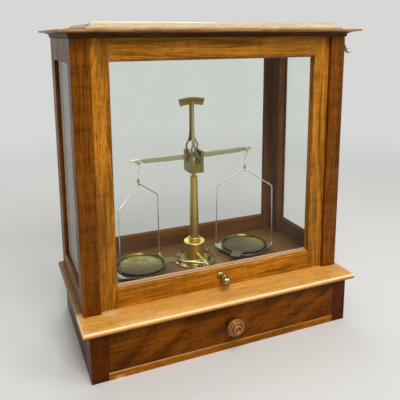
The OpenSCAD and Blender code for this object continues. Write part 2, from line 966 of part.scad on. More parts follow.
module thumbscrew_left() {
  color("#8a8058")
    thumbscrew(LEFT);
}

module thumbscrew_right() {
  color("#8a8058")
    thumbscrew(RIGHT);
}

// Shaft from the back bearing to its rounded front end
module control_shaft() {
  back_gap = 0.2;
  tip_r = shaft_r * 0.64;
  color("#b09440") {
    rod_y(0, shaft_end_y, shaft_z, shaft_r, balance_y + drum_r - drum_wall / 2 - back_gap - shaft_end_y);
    translate([0, shaft_end_y, shaft_z])
      sphere(r = shaft_r);
    translate([0, shaft_end_y - shaft_r, shaft_z])
      sphere(r = tip_r);
  }
}

// Handle screwed into the shaft's front end
module lever_handle() {
  color("#d8c890")
    difference() {
      translate([0, handle_y, shaft_z])
        rotate([0, handle_angle - 90, 0]) {
          cylinder(r1 = handle_r, r2 = handle_r * 0.85, h = handle_len);
          translate([0, 0, handle_len])
            sphere(r = handle_r * 1.1);
        }
      rod_y(0, shaft_end_y - shaft_r, shaft_z, shaft_r, 4 * shaft_r);
    }
}

// Snail cam: its radius falls evenly as the lever turns
module lift_cam() {
  fall = lift_drop / lever_turn;
  dwell = 12;
  step = 6;
  low_r = cam_r - fall * (lever_turn + dwell);
  color("#a08840")
    difference() {
      translate([0, balance_y + cam_t / 2, shaft_z])
        rotate([90, 0, 0])
          linear_extrude(cam_t)
            polygon(concat(
              [for (a = [-dwell : step : 0]) [-cam_r * sin(a), cam_r * cos(a)]],
              [for (a = [step : step : lever_turn + dwell]) (cam_r - fall * a) * [-sin(a), cos(a)]],
              [for (a = [lever_turn + 2 * dwell : 2 * dwell : 360 - 2 * dwell]) low_r * [-sin(a), cos(a)]]));
      rod_y(0, balance_y - cam_t, shaft_z, shaft_r, 2 * cam_t);
    }
}

// Lift rod with a tapered tip over the cam
module lift_rod() {
  tip_r = 1;
  tip_h = 3;
  color("#c8ac58")
    translate([0, balance_y, rod_tip_z]) {
      cylinder(r1 = tip_r, r2 = rod_r, h = tip_h);
      translate([0, 0, tip_h])
        cylinder(r = rod_r, h = head_z - rod_tip_z - tip_h);
    }
}

// Head: a block with a window from front to back and a slot across it for the beam
module beam_head() {
  slot_sill = window_sill + 1;
  color("#b09440")
    difference() {
      block(-head_w / 2, head_w / 2, balance_y - head_d / 2, balance_y + head_d / 2, head_z, head_top_z);
      block(-window_w / 2, window_w / 2, balance_y - head_d, balance_y + head_d, head_z + window_sill,
        head_top_z + 1);
      block(-head_w, head_w, balance_y - slot_w / 2, balance_y + slot_w / 2, head_z + slot_sill,
        head_top_z + 1);
    }
}

// Plates across the window, front and back, that the centre knife rests on
module bearings() {
  top_z = pivot_z - knife_gap;
  color("#50545a")
    for (s = [-1, 1])
      translate([-window_w / 2, balance_y + s * (head_d / 2 - bearing_len) - bearing_len / 2, top_z - bearing_t])
        cube([window_w, bearing_len, bearing_t]);
}

// Index: an arc about the pivot on a stem that splits into two feet on the back prongs
module index_plate() {
  in_r = index_r - index_band;
  reach = index_r * 1.2;
  wish_z = head_top_z + wish_up;
  stem_z = wish_z + wish_r - wish_w;
  flare_w = (wish_r + stem_w) / 3;
  flare_h = 2 * stem_w;
  color("#a89440")
    translate([0, index_y + index_t / 2, 0])
      rotate([90, 0, 0])
        linear_extrude(index_t) {
          translate([0, pivot_z])
            intersection() {
              difference() {
                circle(r = index_r, $fn = 180);
                circle(r = in_r, $fn = 180);
              }
              polygon([[0, 0], [-reach * tan(index_angle), reach], [reach * tan(index_angle), reach]]);
            }
          translate([-stem_w / 2, stem_z])
            square([stem_w, pivot_z + in_r + index_band / 2 - stem_z]);
          // Flare that widens the stem into its feet
          difference() {
            polygon([[-stem_w / 2, stem_z + flare_h], [stem_w / 2, stem_z + flare_h],
              [stem_w * 0.6, stem_z + flare_h / 2], [flare_w, stem_z + wish_w], [flare_w + wish_w / 3, stem_z],
              [-flare_w - wish_w / 3, stem_z], [-flare_w, stem_z + wish_w],
              [-stem_w * 0.6, stem_z + flare_h / 2]]);
            translate([0, wish_z])
              circle(r = wish_r - wish_w);
          }
          intersection() {
            translate([0, wish_z])
              difference() {
                circle(r = wish_r);
                circle(r = wish_r - wish_w);
              }
            translate([-wish_r, head_top_z])
              square(2 * wish_r + wish_up);
          }
        }
}

// Turns the beam's own pieces to the tilt that it is stored at
module tilted() {
  translate([0, 0, pivot_z])
    rotate([0, -beam_tilt, 0])
      translate([0, 0, -pivot_z])
        children();
}

// Wedge along Y with its edge up or down
module wedge(x, z, half_w, h, length) {
  translate([x, balance_y + length / 2, z])
    rotate([90, 0, 0])
      linear_extrude(length)
        polygon([[0, 0], [half_w, h], [-half_w, h]]);
}

module knife_set() {
  wedge(0, pivot_z, knife_half_w, knife_h, head_d - 2);
  for (s = [LEFT, RIGHT])
    wedge(s * arm, end_z, end_knife_half_w, -end_knife_h, 2 * stirrup_half + 3);
}

// Beam: tapered arms with slender tips, in one plate
module beam() {
  tip_x = arm + tip_past;
  shoulder_x = tip_x - tip_len;
  shoulder_run = 3;
  half = [[0, beam_top_z - beam_mid_h], [head_w / 2, beam_top_z - beam_mid_h],
    [shoulder_x, beam_top_z - beam_out_h], [shoulder_x + shoulder_run, beam_top_z - beam_tip_h],
    [tip_x, beam_top_z - beam_tip_h], [tip_x, beam_top_z]];
  color("#9c9870")
    tilted()
      difference() {
        translate([0, balance_y + beam_t / 2, 0])
          rotate([90, 0, 0])
            linear_extrude(beam_t)
              polygon(concat(half, [for (i = [len(half) - 1 : -1 : 1]) [-half[i][0], half[i][1]]]));
        knife_set();
      }
}

module knives() {
  color("#6c7076")
    tilted()
      knife_set();
}

// Pointer: a slender blade on a two legged foot that stands on the beam
module pointer() {
  foot_h = 10.6;
  foot_half = 9;
  leg_w = 2.4;
  blade_w = 5.5;
  tip_w = 2;
  color("#b8a45c")
    tilted()
      translate([0, balance_y + pointer_t / 2, beam_top_z])
        rotate([90, 0, 0])
          linear_extrude(pointer_t)
            polygon([[foot_half, 0], [blade_w / 2, foot_h], [tip_w / 2, pointer_h], [-tip_w / 2, pointer_h],
              [-blade_w / 2, foot_h], [-foot_half, 0], [-foot_half + leg_w, 0], [0, foot_h - leg_w],
              [foot_half - leg_w, 0]]);
}

// Moves a hanging piece to the end knife that it hangs from
module hung(s) {
  translate([end_x(s), balance_y, end_rise(s)])
    children();
}

// Stirrup: two eyes over the knife, two wires, a bead and a stem that ends inside the hook
module stirrup(s) {
  bead_r = 1.6;
  hung(s) {
    for (t = [-1, 1]) {
      translate([0, t * stirrup_half, eye_z])
        rotate([90, 0, 0])
          rotate_extrude()
            translate([eye_in_r + stirrup_wire_r, 0])
              circle(r = stirrup_wire_r, $fn = 24);
      bar([0, t * stirrup_half, eye_z - eye_in_r - stirrup_wire_r], [0, 0, bead_z], stirrup_wire_r * 0.85);
    }
    translate([0, 0, bead_z])
      sphere(r = bead_r);
    translate([0, 0, swivel_z])
      cylinder(r = stem_r, h = bead_z - swivel_z);
    translate([0, 0, swivel_z])
      cylinder(r = swivel_r, h = swivel_h);
  }
}

module stirrup_left() {
  color("#a8a48c")
    stirrup(LEFT);
}

module stirrup_right() {
  color("#a8a48c")
    stirrup(RIGHT);
}

// Hook: a barrel that turns on the stirrup's stem, with a ring under it for the bow
module hook(s, turn) {
  hung(s)
    rotate([0, 0, turn])
      difference() {
        union() {
          translate([0, 0, barrel_z])
            cylinder(r = barrel_r, h = barrel_h);
          translate([0, 0, ring_z])
            rotate([0, 90, 0])
              rotate_extrude()
                translate([ring_in_r + ring_wire_r, 0])
                  circle(r = ring_wire_r, $fn = 24);
        }
        translate([0, 0, swivel_z - bearing_gap])
          cylinder(r = swivel_r + bearing_gap, h = swivel_h + 2 * bearing_gap);
        translate([0, 0, swivel_z])
          cylinder(r = stem_r + bearing_gap, h = barrel_h);
      }
}

module hook_left() {
  color("#c8b468")
    hook(LEFT, left_bow_turn);
}

module hook_right() {
  color("#c8b468")
    hook(RIGHT, right_bow_turn);
}

// Bow: one bent wire from the hook to the two sides of the carrier
function nut_z() = carrier_z + nut_r * 0.8;

module bow(s, turn) {
  shoulder_bend = 3;
  foot = [foot_half, nut_z() + bow_wire_r];
  shoulder = [shoulder_half, bow_z - shoulder_drop];
  top = [bow_flat, bow_z];
  half = concat([foot], bend(foot, shoulder, top, shoulder_bend), [top]);
  hung(s)
    rotate([0, 0, turn])
      bent_wire(concat(half, [for (i = [len(half) - 1 : -1 : 0]) [-half[i][0], half[i][1]]]), bow_wire_r);
}

module bow_left() {
  color("#c0c0b4")
    bow(LEFT, left_bow_turn);
}

module bow_right() {
  color("#c0c0b4")
    bow(RIGHT, right_bow_turn);
}

// Ball nuts on the bow's feet, each with a spigot through the carrier
module bow_nuts(s, turn) {
  spigot_r = nut_r * 0.5;
  hung(s)
    rotate([0, 0, turn])
      for (t = [-1, 1])
        difference() {
          union() {
            intersection() {
              translate([t * foot_half, 0, nut_z()])
                sphere(r = nut_r);
              translate([t * foot_half - 2 * nut_r, -2 * nut_r, carrier_z])
                cube(4 * nut_r);
            }
            translate([t * foot_half, 0, carrier_z - carrier_t])
              cylinder(r = spigot_r, h = carrier_t + nut_r / 2);
          }
          bar([t * foot_half, 0, nut_z() + bow_wire_r], [t * shoulder_half, 0, bow_z - shoulder_drop],
            bow_wire_r);
        }
}

module bow_nuts_left() {
  color("#e8e8e0")
    bow_nuts(LEFT, left_bow_turn);
}

module bow_nuts_right() {
  color("#e8e8e0")
    bow_nuts(RIGHT, right_bow_turn);
}

// Carrier: a flat plate with two ears that the bow's feet go through
module carrier(s, turn) {
  a = acos((carrier_r - ear_r) / foot_half);
  web_r = carrier_r - eps;
  web_ear_r = ear_r - eps;
  hung(s)
    rotate([0, 0, turn])
      translate([0, 0, carrier_z - carrier_t])
        linear_extrude(carrier_t)
          difference() {
            union() {
              circle(r = carrier_r, $fn = 96);
              for (t = [-1, 1]) {
                translate([t * foot_half, 0])
                  circle(r = ear_r);
                polygon([[0, 0], t * web_r * [cos(a), -sin(a)],
                  [t * (foot_half + web_ear_r * cos(a)), -t * web_ear_r * sin(a)],
                  [t * (foot_half + web_ear_r * cos(a)), t * web_ear_r * sin(a)],
                  t * web_r * [cos(a), sin(a)]]);
              }
            }
            for (t = [-1, 1])
              translate([t * foot_half, 0])
                circle(r = nut_r * 0.5);
          }
}

module carrier_left() {
  color("#9aa088")
    carrier(LEFT, left_bow_turn);
}

module carrier_right() {
  color("#9aa088")
    carrier(RIGHT, right_bow_turn);
}

// Pan: a shallow dish with a flat lug on its rim
module pan(s, lug_turn) {
  floor_r = pan_r - pan_h;
  lip_w = pan_t * 1.4;
  tip_w = lug_w * 0.86;
  hung(s)
    rotate([0, 0, lug_turn])
      translate([0, 0, carrier_z]) {
        rotate_extrude($fn = 96)
          polygon([[0, 0], [floor_r, 0], [floor_r + pan_t, pan_t * 0.4], [pan_r - pan_t, pan_h - pan_t],
            [pan_r, pan_h - pan_t], [pan_r, pan_h], [pan_r - lip_w, pan_h],
            [floor_r + lip_w - pan_t * 0.8, pan_t * 1.4], [floor_r - pan_t * 0.4, pan_t], [0, pan_t]]);
        translate([0, 0, pan_h - pan_t])
          linear_extrude(pan_t)
            difference() {
              polygon([[pan_r * 0.9, lug_w / 2 + pan_t], [lug_reach, tip_w / 2], [lug_reach, -tip_w / 2],
                [pan_r * 0.9, -lug_w / 2 - pan_t]]);
              circle(r = pan_r - pan_t / 2, $fn = 96);
            }
      }
}

module pan_left() {
  color("#6e6a44")
    pan(LEFT, left_lug_turn);
}

module pan_right() {
  color("#6e6a44")
    pan(RIGHT, right_lug_turn);
}

plinth_side_left();
plinth_side_right();
plinth_back();
plinth_bottom();
plinth_stiles();
plinth_front_rail();
plinth_top();
post_front_left();
post_front_right();
post_back_left();
post_back_right();
side_rails_left();
side_rails_right();
back_rails();
back_stiles();
glass_left();
glass_right();
glass_back();
roof_board();
roof_panel();
sash_stile_left();
sash_stile_right();
sash_rail_top();
sash_rail_bottom();
sash_glass();
sash_knob();
drawer_front();
drawer_sides();
drawer_back();
drawer_bottom();
drawer_knob();
catch_spring();
catch_knob();
balance_base();
drum();
column();
thumbscrew_left();
thumbscrew_right();
control_shaft();
lever_handle();
lift_cam();
lift_rod();
beam_head();
bearings();
index_plate();
beam();
knives();
pointer();
stirrup_left();
stirrup_right();
hook_left();
hook_right();
bow_left();
bow_right();
bow_nuts_left();
bow_nuts_right();
carrier_left();
carrier_right();
pan_left();
pan_right();
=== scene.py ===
import json
import math
import random

import bmesh
import bpy
from mathutils import Matrix, Vector


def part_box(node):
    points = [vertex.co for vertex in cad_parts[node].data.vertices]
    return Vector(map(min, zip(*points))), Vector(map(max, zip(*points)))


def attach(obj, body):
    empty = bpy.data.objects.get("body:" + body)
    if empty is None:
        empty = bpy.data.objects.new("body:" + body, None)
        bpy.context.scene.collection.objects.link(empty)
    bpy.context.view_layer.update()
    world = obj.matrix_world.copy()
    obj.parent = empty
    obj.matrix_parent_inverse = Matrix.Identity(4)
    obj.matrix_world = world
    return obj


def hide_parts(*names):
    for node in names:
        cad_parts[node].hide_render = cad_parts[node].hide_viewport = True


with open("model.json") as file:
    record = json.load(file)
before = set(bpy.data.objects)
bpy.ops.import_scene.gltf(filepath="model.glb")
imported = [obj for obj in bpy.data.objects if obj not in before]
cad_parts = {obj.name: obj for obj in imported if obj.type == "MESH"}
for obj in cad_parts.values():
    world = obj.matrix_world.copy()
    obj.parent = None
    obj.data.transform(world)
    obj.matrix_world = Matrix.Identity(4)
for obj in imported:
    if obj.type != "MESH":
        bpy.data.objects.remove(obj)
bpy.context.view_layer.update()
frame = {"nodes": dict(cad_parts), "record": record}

bl_info = {
    "name": "Boxed balance scale",
    "version": (1, 0, 0),
    "blender": (4, 5, 0),
    "location": "3D View > Sidebar > Balance",
    "description": "Finishes the frame of a boxed balance scale in polished wood, glass and worn brass",
    "category": "Object",
}

MM = 0.001
SIDES = ("left", "right")
BODY_OF = {node: body for body, nodes in frame["record"]["behaviour"]["bodies"].items() for node in nodes}
PALE = (0.68, 0.68, 0.67)          # background
OLD_POLISH = (1.0, 0.66, 0.36)     # tint of what old shellac reflects

# How finished forms are made from CAD nodes
SAME_POINT = 0.002 * MM            # points closer than this are one point
FLAT = math.radians(0.5)           # faces that fold less than this are one face
ARRIS_STEPS = 2                    # faces across a rounded arris
TURNED_POINTS = 64                 # points round a turned piece
WIRE_EDGE = 0.05 * MM              # radius of the arris on wires, knives and hooks
FINE_EDGE = 0.1 * MM               # on rods and small turned pieces
PRESSED_EDGE = 0.15 * MM           # on pans and the catch
TURNED_EDGE = 0.2 * MM             # on large turned pieces, panes and carriers
PLATE_EDGE = 0.25 * MM             # on flat plates
KNOB_EDGE = 0.3 * MM               # on the sash knob
PROUD = 0.1 * MM                   # how far marks and pins stand out of their piece

# Camera of the photograph
SENSOR_WIDTH = 36                  # millimetres
PHOTO_WIDTH = 400                  # pixels
FOCAL_PIXELS = 502.78

# The drawer knob, back to front, as shares of its radius, its length and the painted highlight on its crests,
# where a low share leaves painted shade in the grooves and on the stem.
# The solid is narrower than the knob in the photograph, so the finished one is wider than its node.
KNOB_SWELL = 1.18
KNOB_PROFILE = (
    (0, 0, 0), (0.7, 0, 0), (0.62, 0.08, 0), (0.64, 0.2, 0), (0.72, 0.36, 0.1), (0.84, 0.5, 0.2),
    (0.94, 0.58, 0.6), (0.99, 0.63, 1), (1.0, 0.68, 1), (0.97, 0.73, 1), (0.91, 0.76, 0.6),
    (0.84, 0.755, 0), (0.8, 0.77, 0), (0.77, 0.82, 0.8), (0.71, 0.855, 1), (0.65, 0.85, 0.7),
    (0.6, 0.82, 0), (0.55, 0.83, 0), (0.52, 0.9, 0.6), (0.47, 0.96, 1), (0.4, 0.99, 1), (0.33, 0.98, 0.8),
    (0.28, 0.94, 0.1), (0.24, 0.9, 0), (0.18, 0.89, 0), (0.13, 0.93, 0.6), (0.07, 0.96, 1), (0, 0.965, 1),
)


def linear(red, green, blue):
    """Colour written as 0 to 255 screen values, turned to the values a shader takes."""
    values = [v / 255 for v in (red, green, blue)]
    return tuple(v / 12.92 if v <= 0.04045 else ((v + 0.055) / 1.055) ** 2.4 for v in values)


def dimmed(colour, share):
    """A colour made darker."""
    return tuple(v * share for v in colour)


def pair(colour, share):
    """Dark and light figure of one wood, from its light colour."""
    return dimmed(colour, share), tuple(colour)


# Shaders

class Signal:
    """A varying number in a node tree. Arithmetic on it adds Math nodes."""

    def __init__(self, web, socket):
        self.web = web
        self.socket = socket

    def work(self, operation, *values):
        return self.web.make("Math", {"operation": operation}, dict(enumerate(values)))

    def __add__(self, other):
        return self.work("ADD", self, other)

    __radd__ = __add__

    def __sub__(self, other):
        return self.work("SUBTRACT", self, other)

    def __rsub__(self, other):
        return self.work("SUBTRACT", other, self)

    def __mul__(self, other):
        return self.work("MULTIPLY", self, other)

    __rmul__ = __mul__

    def __truediv__(self, other):
        return self.work("DIVIDE", self, other)

    def __pow__(self, power):
        return self.work("POWER", self, power)

    def __mod__(self, other):
        return self.work("MODULO", self, other)

    def __abs__(self):
        return self.work("ABSOLUTE", self)

    def __lt__(self, other):
        return self.work("LESS_THAN", self, other)

    def most(self, other):
        return self.work("MAXIMUM", self, other)

    def sine(self):
        return self.work("SINE", self)

    def cosine(self):
        return self.work("COSINE", self)

    def rise(self, low, high):
        """0 below low, 1 above high, smooth between them."""
        settings = {"interpolation_type": "SMOOTHSTEP"}
        return self.web.make("MapRange", settings, {"Value": self, "From Min": low, "From Max": high})


class Web:
    """A node tree that is being made."""

    def make(self, kind, settings=None, inputs=None, output=0):
        """Adds a node, sets it up, joins its sockets and gives one of its outputs."""
        node = self.tree.nodes.new(kind if "Node" in kind else "ShaderNode" + kind)
        for key, value in (settings or {}).items():
            setattr(node, key, value)
        for key, value in (inputs or {}).items():
            if isinstance(value, Signal):
                self.tree.links.new(value.socket, node.inputs[key])
            elif isinstance(value, tuple) and node.inputs[key].type == "RGBA":
                node.inputs[key].default_value = (*value[:3], 1)
            else:
                node.inputs[key].default_value = value
        return Signal(self, node.outputs[output]) if node.outputs else None

    def vector(self, x, y, z):
        return self.make("CombineXYZ", None, {0: x, 1: y, 2: z})


class Finish(Web):
    """A material, or the world, that is being made."""

    def __init__(self, name, owner=None):
        self.material = owner or bpy.data.materials.new(name)
        self.material.use_nodes = True
        self.tree = self.material.node_tree
        self.tree.nodes.clear()

    def place(self):
        return self.make("TexCoord", None, None, "Object")

    def axes(self, vector):
        """The three parts of a vector."""
        whole = self.make("SeparateXYZ", None, {0: vector})
        return [Signal(self, socket) for socket in whole.socket.node.outputs]

    def stretch(self, vector, scale):
        return self.make("VectorMath", {"operation": "MULTIPLY"}, {0: vector, 1: scale})

    def noise(self, vector, scale=1.0, detail=2.0, roughness=0.5, distortion=0.0):
        inputs = {"Vector": vector, "Scale": scale, "Detail": detail, "Roughness": roughness,
                  "Distortion": distortion}
        return self.make("TexNoise", None, inputs)

    def mark(self, name):
        """A number that each piece carries on its mesh."""
        return self.make("Attribute", {"attribute_name": name}, None, "Fac")

    def mix(self, factor, first, second):
        return self.make("Mix", {"data_type": "RGBA"}, {0: factor, 6: first, 7: second}, 2)

    def sight(self):
        """1 for what the camera sees, also in a mirror or through glass."""
        rays = self.make("LightPath").socket.node.outputs
        kinds = ("Is Camera Ray", "Is Glossy Ray", "Is Transmission Ray")
        direct, mirrored, through = [Signal(self, rays[kind]) for kind in kinds]
        return direct.most(mirrored).most(through)

    def grained(self, spot, length, width, *settings):
        """Noise on a board, by how fast it varies along the grain and across it."""
        along, wide, thick = spot
        return self.noise(self.vector(along * length, wide * width, thick * width), 1, *settings)

    def bump(self, height, strength, distance):
        return self.make("Bump", None, {"Height": height, "Strength": strength, "Distance": distance})

    def surface(self, **inputs):
        """Joins the main shader to the output. Names have _ for a space."""
        named = {key.replace("_", " "): value for key, value in inputs.items()}
        shader = self.make("BsdfPrincipled", None, named)
        self.make("OutputMaterial", None, {"Surface": shader})
        return self.material


class Layout(Web):
    """A Geometry Nodes tree that is being made. Its sizes are named inputs."""

    def __init__(self, name, **sizes):
        self.tree = bpy.data.node_groups.new(name, "GeometryNodeTree")
        self.tree.interface.new_socket("Geometry", in_out="OUTPUT", socket_type="NodeSocketGeometry")
        kinds = {int: "Int", float: "Float", tuple: "Vector"}
        for label, value in sizes.items():
            kind = "NodeSocket" + kinds[type(value)]
            socket = self.tree.interface.new_socket(label, in_out="INPUT", socket_type=kind)
            socket.default_value = value
        self.entry = self.tree.nodes.new("NodeGroupInput")
        self.exit = self.tree.nodes.new("NodeGroupOutput")

    def size(self, label):
        return Signal(self, self.entry.outputs[label])

    def moved(self, geometry, place=(0, 0, 0), turn=(0, 0, 0)):
        inputs = {"Geometry": geometry, "Translation": place, "Rotation": turn}
        return self.make("GeometryNodeTransform", None, inputs)

    def end(self, geometry, material):
        """Makes the copies real, gives them their finish and closes the tree."""
        real = self.make("GeometryNodeRealizeInstances", None, {"Geometry": geometry})
        done = self.make("GeometryNodeSetMaterial", None, {"Geometry": real, "Material": material})
        self.tree.links.new(done.socket, self.exit.inputs[0])
        self.material = material
        return self


# Finishes

def along_grain(finish, grain):
    """Place on a board, as distance along the grain and two distances across it, in metres. Each board's own
    number shifts them, so that no two boards have the same figure."""
    x, y, z = finish.axes(finish.place())
    along, wide, thick = {"X": (x, z, y), "Y": (y, z, x), "Z": (z, x, y)}[grain]
    board = finish.mark("board")
    return along + board * 3.7, wide + board * 1.3, thick + board * 0.9


def mahogany(name, grain, dark, light, ripple=0.3, flame=0.0, gloss=0.32, polish=0.12, wear_and_painted_light=None):
    """Polished mahogany: ribbons, streaks, ripple or flame figure and open pores under old polish, with
    arrises made paler, as rubbed polish and as painted highlight. The last argument can change the colour
    and the roughness before the surface is made, with wear and with painted light and shade."""
    wood = Finish(name)
    along, wide, thick = along_grain(wood, grain)
    sway = (wood.grained((along, wide, thick), 4, 12, 2) - 0.5) * 0.03
    wide = wide + sway
    thick = thick + sway
    spot = (along, wide, thick)
    ribbon = wood.grained(spot, 4, 90, 3, 0.55) - 0.5
    streak = wood.grained(spot, 14, 520, 3, 0.6) - 0.5
    dashes = wood.grained(spot, 80, 1000, 1).rise(0.58, 0.74)
    pores = wood.grained(spot, 240, 3000, 1).rise(0.56, 0.72)
    bars = wood.grained(spot, 110, 22, 3, 0.5, 0.4) - 0.5
    tone = ribbon * (0.8 - flame * 0.4) + streak * (0.8 - flame * 0.3) + bars * ripple + 0.5
    if flame:
        across = (wide - along * 0.7) * 36
        tongues = wood.noise(wood.vector(across, (wide * 0.7 + along) * 8, thick * 20), 1, 5, 0.6, 0.7)
        tone = tone + (tongues - 0.5) * flame
    colour = wood.mix(tone.rise(0.28, 0.74), dark, light)
    colour = wood.mix((dashes * 0.7).most(pores * 0.5), colour, dimmed(dark, 0.3))
    arris = wood.mark("arris")
    # Paler arrises, as rubbed polish and as painted highlight on the edges.
    rubbed_and_highlit = wood.grained(spot, 40, 90, 3).rise(0.42, 0.66)
    pale = tuple(min(1, v * 1.5 + 0.03) for v in light)
    colour = wood.mix(arris * rubbed_and_highlit * 0.55, colour, pale)
    smear = wood.noise(wood.place(), 26, 3)
    rough = smear.rise(0.3, 0.75) * 0.14 + gloss + dashes * 0.1
    if wear_and_painted_light:
        colour, rough = wear_and_painted_light(wood, colour, rough)
    return wood.surface(
        Base_Color=colour,
        Roughness=rough,
        Coat_Weight=polish * 0.3,
        Coat_Roughness=0.08,
        Specular_IOR_Level=polish,
        Specular_Tint=OLD_POLISH,
        Normal=wood.bump(streak * 0.3 + smear * 0.5 - dashes * 0.5, 0.3, 0.0004),
    )


def scuffed(wood, spot, middle, size):
    """A ragged worn patch. Spot gives two of the axes, and middle and size are measured along them."""
    across, up = [(axis - start) / half for axis, start, half in zip(spot, middle, size)]
    x, y, z = wood.axes(wood.place())
    ragged = wood.noise(wood.vector(x * 0.5, y, z), 640, 5, 0.7)
    near = (across * across + up * up) ** 0.5
    return 1 - (near * 0.7 + (ragged - 0.5) * 2.4).rise(0.2, 0.9)


def ledge_wear_and_painted_light(wood, colour, rough):
    """A scuffed patch by the left foot of the sash, a painted highlight along the rubbed crest of the nose,
    painted shade on its underside, and painted shade on the duller wood inside the case."""
    x, y, z = wood.axes(wood.place())
    low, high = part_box("plinth_top")
    rim = (abs(x) - high.x).most(low.y - y).rise(-5 * MM, -2 * MM)
    shoulder = z.rise(high.z - 3 * MM, high.z - 1.6 * MM)
    top = z.rise(high.z - 0.9 * MM, high.z - 0.2 * MM)
    # Painted highlight along the crest of the nose, and painted shade on its underside.
    crest = rim * shoulder * (1 - top)
    under = rim * (1 - z.rise(low.z + 2 * MM, high.z - 2.4 * MM))
    colour = wood.mix(crest * 0.75, colour, linear(255, 228, 186))
    colour = wood.mix(under * 0.85, colour, linear(66, 26, 2))
    rough = rough - crest * 0.06
    sash_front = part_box("sash_rail_bottom")[0].y
    scuff_and_highlight = scuffed(wood, (x, y), (-160 * MM, sash_front - 9 * MM), (11 * MM, 7 * MM))
    colour = wood.mix(scuff_and_highlight * 0.6, colour, linear(214, 190, 150))
    # Painted shade on the wood inside the case.
    inside = y.rise(sash_front, sash_front + 12 * MM)
    colour = wood.mix(inside * 0.75, colour, linear(48, 25, 4))
    return colour, rough + scuff_and_highlight * 0.3 + inside * 0.15


def foot_wear_and_painted_highlight(wood, colour, rough):
    """A painted highlight along the top edge of the rail under the drawer, fading to the right, and a scuff
    at its lower left corner.
    """
    x, y, z = wood.axes(wood.place())
    low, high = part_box("plinth_front_rail")
    # Painted highlight along the top edge, fading to the right.
    edge = z.rise(high.z - 1.6 * MM, high.z - 0.6 * MM) * (1 - x.rise(low.x, low.x + 300 * MM) * 0.7)
    scuff_and_highlight = scuffed(wood, (x, z), (low.x + 14 * MM, low.z), (7 * MM, 4 * MM))
    colour = wood.mix(edge * 0.75, colour, linear(214, 158, 108))
    return wood.mix(scuff_and_highlight * 0.8, colour, linear(196, 176, 140)), rough + scuff_and_highlight * 0.3


def rail_painted_highlight(wood, colour, rough):
    """A painted highlight on the top edge of the sash's bottom rail."""
    x, y, z = wood.axes(wood.place())
    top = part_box("sash_rail_bottom")[1].z
    # Painted highlight: the top edge is made pale.
    scuff_and_highlight = z.rise(top - 1.4 * MM, top - 0.5 * MM)
    return wood.mix(scuff_and_highlight * 0.6, colour, linear(222, 192, 160)), rough + scuff_and_highlight * 0.2


def roof_painted_shade(wood, colour, rough):
    """Painted shade on the roof board below its top band."""
    x, y, z = wood.axes(wood.place())
    low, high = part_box("roof_board")
    # Painted shade: everything lower than the top band of the roof board is darkened.
    painted_shade = 1 - z.rise(high.z - 5 * MM, high.z - 2.6 * MM)
    return wood.mix(painted_shade * 0.85, colour, linear(28, 12, 2)), rough + painted_shade * 0.2


def ringed_wood(name, tone):
    """Turned mahogany, with painted highlights on the crests of its rings and painted shade, near black, in
    its grooves and on its stem.
    """
    wood = Finish(name)
    x, y, z = wood.axes(wood.place())
    fine = wood.noise(wood.vector(x * 900, y * 120, z * 900), 1, 2) - 0.5
    # The arris mark is painted light: it lightens the crests as painted highlight and leaves the grooves and
    # stem near black as painted shade.
    arris = wood.mark("arris")
    return wood.surface(
        Base_Color=wood.mix(fine * 0.5 + arris * 0.8 + 0.05, dimmed(tone, 0.12), tone),
        Roughness=0.24 - arris * 0.1,
        Coat_Weight=0.3,
        Coat_Roughness=0.06,
        Specular_IOR_Level=0.8,
        Specular_Tint=OLD_POLISH,
        Normal=wood.bump(fine, 0.1, 0.0002),
    )


def brass(name, tone, tarnish, rough=0.25, amount=0.3, lathe=False, bright=None):
    """Worn brass: clouds and specks of tarnish, and fine scratches or, on turned pieces, the lathe's rings.
    Bright gives the distances from the middle between which it turns to pale metal, as a painted highlight."""
    metal = Finish(name)
    spot = metal.place()
    clouds = metal.noise(spot, 70, 4, 0.6).rise(0.4, 0.75)
    specks = metal.noise(spot, 700 if lathe else 1100, 2).rise(0.66, 0.78)
    x, y, z = metal.axes(spot)
    if lathe:
        lines = metal.noise(metal.vector(x * 20, y * 20, z * 700), 1, 1)
    else:
        lines = metal.noise(metal.vector(x * 150, y * 2400, z * 2400), 1, 2)
    colour = metal.mix((clouds * amount).most(specks * amount * (0.3 if lathe else 0.7)), tone, tarnish)
    if bright:
        # Painted highlight: pale metal towards the ends.
        painted_highlight = abs(x).rise(*bright)
        colour = metal.mix(painted_highlight * 0.85, colour, linear(240, 236, 214))
    return metal.surface(
        Base_Color=colour,
        Metallic=1.0,
        Roughness=clouds * 0.12 + rough + lines * 0.08,
        Normal=metal.bump(lines, 0.02 if lathe else 0.1, 0.00005),
    )


def steel(name, tone, rough=0.22):
    """Drawn or ground steel with fine marks."""
    metal = Finish(name)
    spot = metal.place()
    fine = metal.noise(spot, 1400, 2)
    dull = metal.noise(spot, 120, 3).rise(0.4, 0.7)
    return metal.surface(
        Base_Color=metal.mix(dull * 0.6, tone, dimmed(tone, 0.6)),
        Metallic=1.0,
        Roughness=fine * 0.12 + rough + dull * 0.12,
        Normal=metal.bump(fine, 0.12, 0.0001),
    )


def pane(name):
    """Clear glass with faint smears, which lets the lamps through."""
    glass = Finish(name)
    spot = glass.place()
    smear = glass.noise(glass.stretch(spot, (1, 1, 0.5)), 16, 4, 0.62).rise(0.5, 0.85)
    facing = glass.make("LayerWeight", None, {"Blend": 0.5}, "Facing")
    body = glass.make("BsdfTransparent", None, {"Color": (0.968, 0.978, 0.968)})
    shine = glass.make("BsdfPrincipled", None, {
        "Base Color": (0.9, 0.93, 0.91), "Roughness": smear * 0.12 + 0.02, "Metallic": 1.0})
    share = facing ** 5 * 0.5 + 0.012 + smear * 0.02
    both = glass.make("MixShader", None, {0: share, 1: body, 2: shine})
    glass.make("OutputMaterial", None, {"Surface": both})
    return glass.material


# Pieces

